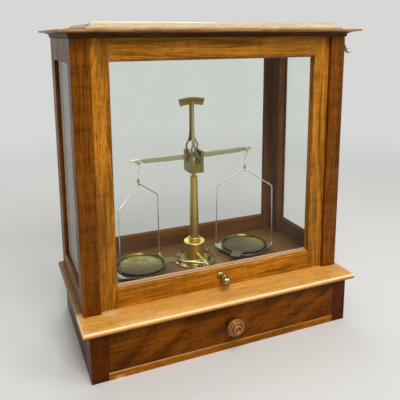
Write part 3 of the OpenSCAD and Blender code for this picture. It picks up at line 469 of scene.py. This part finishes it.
def adopt(mesh, name, body, material, *nodes):
    """Makes an object of a mesh, gives it its finish and lets it stand for CAD nodes."""
    piece = bpy.data.objects.new(name, mesh)
    bpy.context.scene.collection.objects.link(piece)
    piece.data.materials.clear()
    piece.data.materials.append(material)
    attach(piece, body)
    if nodes:
        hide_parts(*nodes)
    return piece


def softened(node, material, radius, angle=35):
    """A CAD node's form with its points merged and its arrises rounded over. The points carry a number of the
    board's own, and a mark where the arris is rounded."""
    mesh = frame["nodes"][node].data.copy()
    mesh.name = node + "_form"
    form = bmesh.new()
    form.from_mesh(mesh)
    bmesh.ops.remove_doubles(form, verts=form.verts, dist=SAME_POINT)
    bmesh.ops.dissolve_limit(form, angle_limit=FLAT, verts=form.verts, edges=form.edges)
    fold = math.radians(angle)
    sharp = [edge for edge in form.edges if len(edge.link_faces) == 2 and edge.calc_face_angle(0) > fold]
    arris = form.verts.layers.float.new("arris")
    board = form.verts.layers.float.new("board")
    made = bmesh.ops.bevel(form, geom=sharp, offset=radius, offset_type="OFFSET", segments=ARRIS_STEPS,
                           profile=0.5, affect="EDGES", clamp_overlap=True)
    rounded = set(made["faces"])
    number = random.Random(node).random()
    for vert in form.verts:
        vert[board] = number
        vert[arris] = float(rounded.issuperset(vert.link_faces))
    for face in form.faces:
        face.smooth = True
    for edge in form.edges:
        kinds = {face in rounded for face in edge.link_faces}
        edge.smooth = len(kinds) == 1 and edge.calc_face_angle(0) < fold
    form.to_mesh(mesh)
    form.free()
    return adopt(mesh, node + "_finish", BODY_OF[node], material, node)


def turned(node, material, profile, swell):
    """A piece turned about an axis along Y in place of a CAD node. The profile gives shares of its radius, of
    the node's length from the back, and of the painted highlight on its crests, with painted shade where it
    is low.
    Its radius is the node's times swell."""
    low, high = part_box(node)
    radius = (high.x - low.x) / 2 * swell
    centre = (low + high) / 2
    form = bmesh.new()
    arris = form.verts.layers.float.new("arris")
    rings = []
    for reach, place, polish in profile:
        ring = []
        for step in range(TURNED_POINTS if reach else 1):
            angle = math.tau * step / TURNED_POINTS
            spot = (centre.x + radius * reach * math.cos(angle), high.y - (high.y - low.y) * place,
                    centre.z + radius * reach * math.sin(angle))
            vert = form.verts.new(spot)
            # The third share is painted light: high on crests as painted highlight, low in grooves as painted
            # shade.
            vert[arris] = polish
            ring.append(vert)
        rings.append(ring)
    for first, second in zip(rings, rings[1:]):
        for step in range(TURNED_POINTS):
            after = (step + 1) % TURNED_POINTS
            corners = [first[step % len(first)], first[after % len(first)],
                       second[after % len(second)], second[step % len(second)]]
            form.faces.new(list(dict.fromkeys(corners)))
    bmesh.ops.recalc_face_normals(form, faces=form.faces)
    for face in form.faces:
        face.smooth = True
    mesh = bpy.data.meshes.new(node + "_form")
    form.to_mesh(mesh)
    form.free()
    mesh.set_sharp_from_angle(angle=math.radians(60))
    return adopt(mesh, node + "_finish", BODY_OF[node], material, node)


def marks(material):
    """Bars set out on a circle, with every fifth one longer."""
    plan = Layout("marks_on_a_circle", Count=21, Radius=0.08, Spread=0.4, Short=0.003, Long=0.005,
                  Width=0.0003, Proud=0.0002, Place=(0.0, 0.0, 0.0), Turn=(0.0, 0.0, 0.0))
    index = plan.make("GeometryNodeInputIndex")
    angle = (index / (plan.size("Count") - 1) - 0.5) * plan.size("Spread")
    fifth = index % 5 < 0.5
    length = plan.size("Short") + (plan.size("Long") - plan.size("Short")) * fifth
    reach = plan.size("Radius") + length / 2
    spot = plan.vector(reach * angle.sine(), 0, reach * angle.cosine())
    line = plan.make("GeometryNodeMeshLine", None, {"Count": plan.size("Count")})
    row = plan.make("GeometryNodeSetPosition", None, {"Geometry": line, "Position": spot})
    section = plan.vector(plan.size("Width"), plan.size("Proud"), 1)
    block = plan.make("GeometryNodeMeshCube", None, {"Size": section})
    lean = plan.make("FunctionNodeEulerToRotation", None, {0: plan.vector(0, angle, 0)})
    bars = plan.make("GeometryNodeInstanceOnPoints", None, {
        "Points": row, "Instance": block, "Rotation": lean, "Scale": plan.vector(1, 1, length)})
    return plan.end(plan.moved(bars, plan.size("Place"), plan.size("Turn")), material)


def tails(material):
    """Tapered pins set out in an upright row, as between the tails of a dovetail joint."""
    plan = Layout("row_of_pins", Count=4, Step=0.01, Wide=0.008, Narrow=0.004, Depth=0.01, Proud=0.0002,
                  Place=(0.0, 0.0, 0.0))
    corner = 2 ** -0.5
    taper = plan.make("GeometryNodeMeshCone", None, {
        "Vertices": 4, "Depth": plan.size("Depth"),
        "Radius Top": plan.size("Wide") * corner, "Radius Bottom": plan.size("Narrow") * corner})
    square = plan.moved(taper, turn=(0, 0, math.radians(45)))
    upright = plan.moved(square, turn=(math.radians(-90), 0, 0))
    row = plan.make("GeometryNodeMeshLine", None, {
        "Count": plan.size("Count"), "Offset": plan.vector(0, 0, plan.size("Step"))})
    thin = plan.vector(plan.size("Proud") / plan.size("Wide"), 1, 1)
    pins = plan.make("GeometryNodeInstanceOnPoints", None, {
        "Points": row, "Instance": upright, "Scale": thin})
    return plan.end(plan.moved(pins, plan.size("Place")), material)


def laid_out(plan, name, body, sizes):
    """Runs a Geometry Nodes tree with its sizes and keeps the outcome as a plain mesh."""
    holder = bpy.data.objects.new(name + "_maker", bpy.data.meshes.new(name + "_start"))
    bpy.context.scene.collection.objects.link(holder)
    pattern = holder.modifiers.new("layout", "NODES")
    pattern.node_group = plan.tree
    for item in plan.tree.interface.items_tree:
        if item.in_out == "INPUT" and item.name in sizes:
            pattern[item.identifier] = sizes[item.name]
    graph = bpy.context.evaluated_depsgraph_get()
    mesh = bpy.data.meshes.new_from_object(holder.evaluated_get(graph), preserve_all_data_layers=True,
                                           depsgraph=graph)
    holder.modifiers.remove(pattern)
    bpy.data.objects.remove(holder)
    if not mesh.polygons:
        raise RuntimeError(name + " came out empty")
    piece = adopt(mesh, name, body, plan.material)
    return piece


# Settings

class CaseSettings(bpy.types.PropertyGroup):
    """Colours and edges of the woodwork."""
    sash: bpy.props.FloatVectorProperty(
        name="Sash", description="Light figure of the sash", subtype="COLOR", default=linear(196, 126, 34))
    posts: bpy.props.FloatVectorProperty(
        name="Posts", description="Light figure of the posts and side rails", subtype="COLOR",
        default=linear(130, 72, 8))
    ledge: bpy.props.FloatVectorProperty(
        name="Ledge", description="Light figure of the moulded top of the plinth", subtype="COLOR",
        default=linear(232, 168, 80))
    plinth: bpy.props.FloatVectorProperty(
        name="Plinth", description="Light figure of the plinth under its top", subtype="COLOR",
        default=linear(90, 40, 3))
    foot: bpy.props.FloatVectorProperty(
        name="Foot rail", description="Light figure of the rail under the drawer", subtype="COLOR",
        default=linear(168, 100, 10))
    drawer: bpy.props.FloatVectorProperty(
        name="Drawer", description="Light figure of the drawer front", subtype="COLOR",
        default=linear(126, 66, 1))
    roof: bpy.props.FloatVectorProperty(
        name="Roof", description="Light figure of the roof board", subtype="COLOR",
        default=linear(176, 122, 78))
    panel: bpy.props.FloatVectorProperty(
        name="Panel", description="Light figure of the raised roof panel", subtype="COLOR",
        default=linear(206, 188, 152))
    arris: bpy.props.FloatProperty(
        name="Arris", description="Radius of the woodwork's rubbed edges", subtype="DISTANCE", unit="LENGTH",
        default=0.7 * MM, min=0.1 * MM, max=2 * MM)


class BalanceSettings(bpy.types.PropertyGroup):
    """Colours of the balance's metal."""
    stand: bpy.props.FloatVectorProperty(
        name="Stand", description="Brass of the base, index, head and hooks, before wear", subtype="COLOR",
        default=linear(184, 160, 78))
    beam: bpy.props.FloatVectorProperty(
        name="Beam", description="Clean metal of the beam and its pointer", subtype="COLOR",
        default=linear(176, 172, 136))
    pan: bpy.props.FloatVectorProperty(
        name="Pans", description="Clean metal of the pans", subtype="COLOR", default=linear(100, 90, 42))
    wire: bpy.props.FloatVectorProperty(
        name="Wire", description="Metal of the bows, their nuts and the stirrups", subtype="COLOR",
        default=linear(236, 233, 222))


class StageSettings(bpy.types.PropertyGroup):
    """Camera and light."""
    place: bpy.props.FloatVectorProperty(
        name="Camera", description="Place of the camera", subtype="TRANSLATION", unit="LENGTH",
        default=(-0.2831, -0.671, 0.43))
    heading: bpy.props.FloatProperty(
        name="Heading", description="Turn of the camera towards the right", subtype="ANGLE",
        default=math.radians(22.75))
    fall: bpy.props.FloatProperty(
        name="Fall", description="Angle that the camera looks down", subtype="ANGLE",
        default=math.radians(10.68))
    roll: bpy.props.FloatProperty(
        name="Roll", description="Turn of the camera about its own axis", subtype="ANGLE",
        default=math.radians(-0.3))
    lens: bpy.props.FloatProperty(
        name="Lens", description="Focal length on a 36 mm sensor",
        default=FOCAL_PIXELS / PHOTO_WIDTH * SENSOR_WIDTH, min=10, max=200)
    rise: bpy.props.FloatProperty(
        name="Shift", description="Upright shift of the lens, as a share of the frame", default=-0.175)
    floor: bpy.props.FloatVectorProperty(
        name="Floor", description="Colour of the floor", subtype="COLOR", default=linear(214, 214, 212))


# Operators

class WoodworkOperator(bpy.types.Operator):
    """Finishes the plinth, the posts, the rails and the roof"""
    bl_idname = "balance.woodwork"
    bl_label = "Woodwork"

    def execute(self, context):
        tones = context.scene.balance_case
        radius = tones.arris
        posts = pair(tones.posts, 0.34)
        plinth = pair(tones.plinth, 0.4)
        upright = mahogany("post_wood", "Z", *posts, ripple=0.4)
        deep = mahogany("side_rail_wood", "Y", *posts)
        across = mahogany("back_rail_wood", "X", *pair(tones.posts, 0.3))
        ledge = mahogany("ledge_wood", "X", *pair(tones.ledge, 0.68), ripple=0.16, gloss=0.22, polish=0.3,
                         wear_and_painted_light=ledge_wear_and_painted_light)
        plinth_across = mahogany("plinth_wood", "X", *plinth, flame=0.4, polish=0.1)
        plinth_deep = mahogany("plinth_side_wood", "Y", *plinth, flame=0.4, polish=0.1)
        foot_rail = mahogany("foot_rail_wood", "X", *pair(tones.foot, 0.36), ripple=0.2, flame=0.3,
                             polish=0.08, wear_and_painted_light=foot_wear_and_painted_highlight)
        plinth_upright = mahogany("plinth_stile_wood", "Z", *plinth, polish=0.08)
        roof = mahogany("roof_wood", "X", *pair(tones.roof, 0.34), gloss=0.3, wear_and_painted_light=roof_painted_shade)
        panel = mahogany("roof_panel_wood", "X", *pair(tones.panel, 0.72), ripple=0.2, gloss=0.3, polish=0.25)
        for side in SIDES:
            softened("post_front_" + side, upright, radius)
            softened("post_back_" + side, upright, radius)
            softened("side_rails_" + side, deep, radius)
            softened("plinth_side_" + side, plinth_deep, radius)
        softened("back_rails", across, radius)
        softened("back_stiles", upright, radius)
        softened("plinth_back", plinth_across, radius)
        softened("plinth_bottom", plinth_across, radius)
        softened("plinth_stiles", plinth_upright, radius)
        softened("plinth_front_rail", foot_rail, radius)
        softened("plinth_top", ledge, radius)
        softened("roof_board", roof, radius * 0.6)
        softened("roof_panel", panel, radius * 0.6)
        return {"FINISHED"}


class SashOperator(bpy.types.Operator):
    """Finishes the rising sash and its knob"""
    bl_idname = "balance.sash"
    bl_label = "Sash"

    def execute(self, context):
        tones = context.scene.balance_case
        sash = pair(tones.sash, 0.26)
        upright = mahogany("sash_stile_wood", "Z", *sash, ripple=0.2)
        across = mahogany("sash_rail_wood", "X", *sash, ripple=0.15, flame=0.2)
        low = mahogany("sash_low_rail_wood", "X", *pair(linear(204, 128, 30), 0.28), ripple=0.15, flame=0.2,
                       gloss=0.28, wear_and_painted_light=rail_painted_highlight)
        knob = brass("knob_brass", linear(158, 140, 92), linear(50, 38, 16), rough=0.12, amount=0.6)
        for side in SIDES:
            softened("sash_stile_" + side, upright, tones.arris)
        softened("sash_rail_top", across, tones.arris)
        softened("sash_rail_bottom", low, tones.arris)
        softened("sash_knob", knob, KNOB_EDGE)
        return {"FINISHED"}


class DrawerOperator(bpy.types.Operator):
    """Finishes the drawer"""
    bl_idname = "balance.drawer"
    bl_label = "Drawer"

    def execute(self, context):
        tones = context.scene.balance_case
        front = mahogany("drawer_flame", "X", *pair(tones.drawer, 0.28), ripple=0.15, flame=1.0, gloss=0.28,
                         polish=0.08)
        bare = linear(142, 98, 58), linear(196, 148, 96)
        plain = mahogany("bare_wood", "Y", *bare, ripple=0.2, gloss=0.55)
        plain_across = mahogany("bare_wood_across", "X", *bare, ripple=0.2, gloss=0.55)
        softened("drawer_front", front, tones.arris)
        softened("drawer_sides", plain, tones.arris)
        softened("drawer_back", plain_across, tones.arris)
        softened("drawer_bottom", plain_across, tones.arris)
        turned("drawer_knob", ringed_wood("turned_wood", linear(160, 92, 24)), KNOB_PROFILE, KNOB_SWELL)
        self.joint(front)
        return {"FINISHED"}

    def joint(self, wood):
        """Pins of the drawer's front that show between the tails of its sides."""
        low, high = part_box("drawer_sides")
        count = 4
        step = (high.z - low.z) / count
        depth = 11 * MM
        plan = tails(wood)
        for side, x in (("left", low.x), ("right", high.x)):
            laid_out(plan, "drawer_pins_" + side, "drawer", {
                "Count": count, "Step": step, "Wide": 8 * MM, "Narrow": 4.5 * MM, "Depth": depth,
                "Proud": PROUD, "Place": (x, low.y + depth / 2 + PROUD, low.z + step / 2)})


class GlassOperator(bpy.types.Operator):
    """Finishes the panes"""
    bl_idname = "balance.glass"
    bl_label = "Glass"

    def execute(self, context):
        clear = pane("clear_pane")
        for node in ("glass_left", "glass_right", "glass_back", "sash_glass"):
            softened(node, clear, TURNED_EDGE)
        return {"FINISHED"}


class CatchOperator(bpy.types.Operator):
    """Finishes the sash catch"""
    bl_idname = "balance.catch"
    bl_label = "Catch"

    def execute(self, context):
        plate = steel("catch_plate", linear(196, 190, 172))
        softened("catch_spring", plate, PRESSED_EDGE)
        softened("catch_knob", plate, PRESSED_EDGE)
        return {"FINISHED"}


class StandOperator(bpy.types.Operator):
    """Finishes the base, the drum, the column, the thumbscrews, the lever, the head and the index"""
    bl_idname = "balance.stand"
    bl_label = "Stand"

    def execute(self, context):
        tone = tuple(context.scene.balance_metal.stand)
        tarnish = dimmed(tone, 0.3)
        lathe = brass("turned_brass", linear(190, 164, 78), tarnish, rough=0.32, amount=0.06, lathe=True)
        # The base takes a darker copy of the stand's brass, as painted shade for the dark reflections on it.
        foot = brass("foot_brass", dimmed(tone, 0.55), tarnish, rough=0.2, amount=0.5, lathe=True)
        rod = brass("rod_brass", linear(226, 206, 136), tarnish, rough=0.3, amount=0.1)
        # The head and the lift cam take a darker copy of the stand's brass, as painted shade.
        flat = brass("flat_brass", dimmed(tone, 0.5), tarnish, rough=0.24, amount=0.35)
        dark = brass("dark_brass", linear(150, 136, 92), linear(70, 62, 40), rough=0.3, amount=0.5,
                     lathe=True)
        # The drum takes a lighter copy of the turned brass, as painted light.
        wide = brass("drum_brass", linear(226, 198, 92), tarnish, rough=0.34, amount=0.1, lathe=True)
        pale = brass("index_brass", dimmed(tone, 0.62), tarnish, rough=0.3)
        handle = steel("pale_handle", linear(240, 232, 214), rough=0.2)
        softened("balance_base", foot, TURNED_EDGE)
        softened("column", lathe, TURNED_EDGE)
        softened("drum", wide, TURNED_EDGE)
        softened("index_plate", pale, PLATE_EDGE)
        softened("beam_head", flat, PLATE_EDGE)
        softened("lift_cam", flat, PLATE_EDGE)
        softened("lift_rod", lathe, FINE_EDGE)
        softened("control_shaft", rod, FINE_EDGE)
        softened("lever_handle", handle, FINE_EDGE)
        for side in SIDES:
            softened("thumbscrew_" + side, dark, FINE_EDGE)
        self.mark(dark)
        return {"FINISHED"}

    def mark(self, metal):
        """Graduations and a line on the index, and milling on the edges of the thumbscrews."""
        low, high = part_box("index_plate")
        first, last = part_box("knives")
        pivot = (0.0, low.y, (first.z + last.z) / 2)
        radius = high.z - pivot[2]
        line = 0.5 * MM
        scale = marks(brass("scale_black", linear(60, 50, 24), linear(40, 34, 18), rough=0.5))
        laid_out(scale, "index_graduations", "lift", {
            "Count": 21, "Radius": radius - 5.6 * MM, "Spread": math.radians(24), "Short": 2.6 * MM,
            "Long": 4.2 * MM, "Width": line, "Proud": PROUD, "Place": pivot})
        laid_out(scale, "index_line", "lift", {
            "Count": 36, "Radius": radius - 6 * MM, "Spread": math.radians(25), "Short": line,
            "Long": line, "Width": 1.1 * MM, "Proud": PROUD, "Place": pivot})
        milling = marks(metal)
        grooves = 40
        for side in SIDES:
            low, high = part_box("thumbscrew_" + side)
            disc = (high.x - low.x) / 2
            centre = (low + high) / 2
            laid_out(milling, "milling_" + side, "screw_" + side, {
                "Count": grooves, "Radius": disc - 0.5 * MM, "Spread": math.tau * (grooves - 1) / grooves,
                "Short": 0.5 * MM, "Long": 0.5 * MM, "Width": 0.3 * MM, "Proud": 1.4 * MM,
                "Turn": (math.radians(90), 0.0, 0.0), "Place": (centre.x, centre.y, high.z - 5.1 * MM)})


class BeamOperator(bpy.types.Operator):
    """Finishes the beam, its pointer, its knives and their bearings"""
    bl_idname = "balance.beam"
    bl_label = "Beam"

    def execute(self, context):
        tone = tuple(context.scene.balance_metal.beam)
        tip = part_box("beam")[1].x
        # The beam's ends turn pale as a painted highlight.
        flat = brass("beam_metal", tone, dimmed(tone, 0.36), rough=0.24, amount=0.5,
                     bright=(tip - 18 * MM, tip - 9 * MM))
        ground = steel("ground_steel", linear(120, 124, 130))
        softened("beam", flat, PLATE_EDGE)
        softened("pointer", flat, FINE_EDGE)
        softened("knives", ground, WIRE_EDGE)
        softened("bearings", ground, FINE_EDGE)
        return {"FINISHED"}


class HangersOperator(bpy.types.Operator):
    """Finishes the stirrups, the hooks, the bows, the carriers and the pans"""
    bl_idname = "balance.hangers"
    bl_label = "Hangers and pans"

    def execute(self, context):
        metals = context.scene.balance_metal
        wire = steel("bright_wire", tuple(metals.wire))
        stand = tuple(metals.stand)
        pan = tuple(metals.pan)
        hook = brass("hook_brass", stand, dimmed(stand, 0.35), rough=0.2, lathe=True)
        dish = brass("pan_metal", pan, dimmed(pan, 0.3), rough=0.24, amount=0.6)
        plate = brass("carrier_metal", linear(176, 178, 150), linear(96, 98, 78), rough=0.3, amount=0.4)
        for side in SIDES:
            for node, metal in (("stirrup_", wire), ("hook_", hook), ("bow_", wire), ("bow_nuts_", wire)):
                softened(node + side, metal, WIRE_EDGE, angle=50)
            softened("carrier_" + side, plate, TURNED_EDGE, angle=50)
            softened("pan_" + side, dish, PRESSED_EDGE, angle=30)
        return {"FINISHED"}


def lamp(name, place, target, size, power, colour=(1, 1, 1)):
    """Square soft lamp that looks at a point."""
    light = bpy.data.lights.new(name, "AREA")
    light.shape = "SQUARE"
    light.size = size
    light.energy = power
    light.color = colour
    held = bpy.data.objects.new(name, light)
    bpy.context.scene.collection.objects.link(held)
    held.location = place
    held.rotation_mode = "QUATERNION"
    held.rotation_quaternion = (Vector(target) - Vector(place)).to_track_quat("-Z", "Y")


class StageOperator(bpy.types.Operator):
    """Makes the floor, the lamps and the camera"""
    bl_idname = "balance.stage"
    bl_label = "Stage"

    def execute(self, context):
        stage = context.scene.balance_stage
        self.lay_floor(tuple(stage.floor))
        self.light(context.scene)
        self.aim(context.scene, stage)
        return {"FINISHED"}

    def lay_floor(self, colour):
        """A wide pale disc that fades into the background for the camera."""
        paint = Finish("floor_paint")
        x, y, z = paint.axes(paint.place())
        far = ((x * x + y * y) ** 0.5).rise(0.5, 1.6)
        plain = paint.make("BsdfPrincipled", None, {"Base Color": colour, "Roughness": 0.6})
        glow = paint.make("Emission", None, {"Color": PALE, "Strength": 1.0})
        both = paint.make("MixShader", None, {0: far * paint.sight(), 1: plain, 2: glow})
        paint.make("OutputMaterial", None, {"Surface": both})
        disc = bmesh.new()
        bmesh.ops.create_circle(disc, cap_ends=True, segments=96, radius=6)
        mesh = bpy.data.meshes.new("floor")
        disc.to_mesh(mesh)
        disc.free()
        floor = bpy.data.objects.new("floor", mesh)
        bpy.context.scene.collection.objects.link(floor)
        floor.data.materials.append(paint.material)

    def light(self, scene):
        """Soft lamps and a pale world."""
        middle = (0, 0, 0.2)
        lamp("key_lamp", (-0.15, -1.05, 1.45), middle, size=0.8, power=22, colour=(1, 0.97, 0.93))
        lamp("side_lamp", (1.0, -0.9, 1.0), middle, size=0.7, power=7)
        lamp("back_lamp", (0.1, 1.1, 1.3), (0, 0, 0.4), size=1.0, power=9)
        scene.world = bpy.data.worlds.new("pale_world")
        sky = Finish("pale_world", scene.world)
        glow = sky.make("Background", None, {"Color": PALE, "Strength": sky.sight() * 0.6 + 0.4})
        sky.make("OutputWorld", None, {"Surface": glow})

    def aim(self, scene, stage):
        """Camera at the photograph's viewing angle."""
        lens = bpy.data.cameras.new("camera")
        lens.sensor_width = SENSOR_WIDTH
        lens.lens = stage.lens
        lens.shift_y = stage.rise
        lens.clip_start = 0.05
        lens.clip_end = 30
        camera = bpy.data.objects.new("camera", lens)
        scene.collection.objects.link(camera)
        ahead = Vector((math.sin(stage.heading) * math.cos(stage.fall),
                        math.cos(stage.heading) * math.cos(stage.fall), -math.sin(stage.fall)))
        right = Vector((math.cos(stage.heading), -math.sin(stage.heading), 0))
        up = right.cross(ahead)
        rolled_right = right * math.cos(stage.roll) + up * math.sin(stage.roll)
        rolled_up = up * math.cos(stage.roll) - right * math.sin(stage.roll)
        turn = Matrix((rolled_right, rolled_up, -ahead)).transposed()
        camera.matrix_world = Matrix.Translation(stage.place) @ turn.to_4x4()
        scene.camera = camera
        scene.view_settings.view_transform = "Standard"


class BalancePanel(bpy.types.Panel):
    """Lists the steps that finish the balance"""
    bl_idname = "VIEW3D_PT_balance"
    bl_label = "Boxed balance scale"
    bl_space_type = "VIEW_3D"
    bl_region_type = "UI"
    bl_category = "Balance"

    def draw(self, context):
        for step in STEPS:
            self.layout.operator(step.bl_idname)


STEPS = (WoodworkOperator, SashOperator, DrawerOperator, GlassOperator, CatchOperator, StandOperator,
         BeamOperator, HangersOperator, StageOperator)
GROUPS = (CaseSettings, BalanceSettings, StageSettings)


def register():
    for group in GROUPS:
        bpy.utils.register_class(group)
    for step in STEPS:
        bpy.utils.register_class(step)
    bpy.utils.register_class(BalancePanel)
    bpy.types.Scene.balance_case = bpy.props.PointerProperty(type=CaseSettings)
    bpy.types.Scene.balance_metal = bpy.props.PointerProperty(type=BalanceSettings)
    bpy.types.Scene.balance_stage = bpy.props.PointerProperty(type=StageSettings)


def unregister():
    del bpy.types.Scene.balance_stage
    del bpy.types.Scene.balance_metal
    del bpy.types.Scene.balance_case
    bpy.utils.unregister_class(BalancePanel)
    for step in reversed(STEPS):
        bpy.utils.unregister_class(step)
    for group in reversed(GROUPS):
        bpy.utils.unregister_class(group)


def main():
    register()
    bpy.ops.balance.woodwork()
    bpy.ops.balance.sash()
    bpy.ops.balance.drawer()
    bpy.ops.balance.glass()
    bpy.ops.balance.catch()
    bpy.ops.balance.stand()
    bpy.ops.balance.beam()
    bpy.ops.balance.hangers()
    bpy.ops.balance.stage()


if __name__ == "__main__":
    main()
